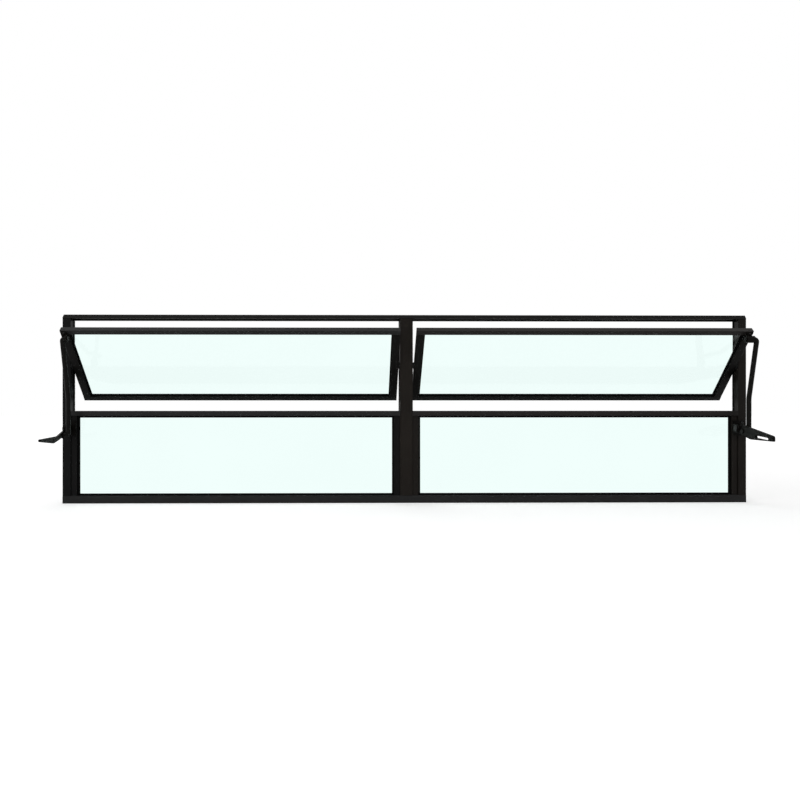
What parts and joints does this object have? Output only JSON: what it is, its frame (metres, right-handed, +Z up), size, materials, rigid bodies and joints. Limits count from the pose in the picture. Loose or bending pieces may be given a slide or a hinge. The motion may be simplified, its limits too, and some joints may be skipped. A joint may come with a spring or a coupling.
{
  "type": "tilting window with two pivoted sashes",
  "caption": "Long black aluminium window: centre-pivoted glazed sashes, shown tilted open, over fixed panes, each sash worked by a side lever and rod.",
  "frame": {"origin": "middle of the sill's flat underside, half way through the frame's depth", "axes": "+X along the window to the right as seen from the room, the room on the -Y side, +Z up"},
  "size_m": [1.5, 0.2214, 0.412],
  "materials": {
    "profile": "black powder coat, satin",
    "glass": "clear float",
    "gasket": "matt",
    "hardware": "black paint, satin",
    "pivot": "matt",
    "pin": "blackened"
  },
  "bodies": {
    "root": {"head_rail": "profile", "sill_rail": "profile", "left_jamb": "profile", "right_jamb": "profile", "centre_mullion": "profile", "left_transom": "profile", "left_fixed_outer_channel": "profile", "left_fixed_inner_channel": "profile", "left_sash_top_rail": "profile", "left_sash_bottom_rail": "profile", "left_sash_outer_stile": "profile", "left_sash_inner_stile": "profile", "left_fixed_glass": "glass", "left_sash_glass": "glass", "left_fixed_gasket": "gasket", "left_sash_gasket": "gasket", "left_sash_outer_pivot": "pivot", "left_sash_inner_pivot": "pivot", "left_lever": "hardware", "left_lever_bracket": "hardware", "left_rod_bracket": "hardware", "left_rod": "hardware", "left_lever_pin": "pin", "right_transom": "profile", "right_fixed_outer_channel": "profile", "right_fixed_inner_channel": "profile", "right_sash_top_rail": "profile", "right_sash_bottom_rail": "profile", "right_sash_outer_stile": "profile", "right_sash_inner_stile": "profile", "right_fixed_glass": "glass", "right_sash_glass": "glass", "right_fixed_gasket": "gasket", "right_sash_gasket": "gasket", "right_sash_outer_pivot": "pivot", "right_sash_inner_pivot": "pivot", "right_lever": "hardware", "right_lever_bracket": "hardware", "right_rod_bracket": "hardware", "right_rod": "hardware", "right_lever_pin": "pin"}
  },
  "joints": []
}
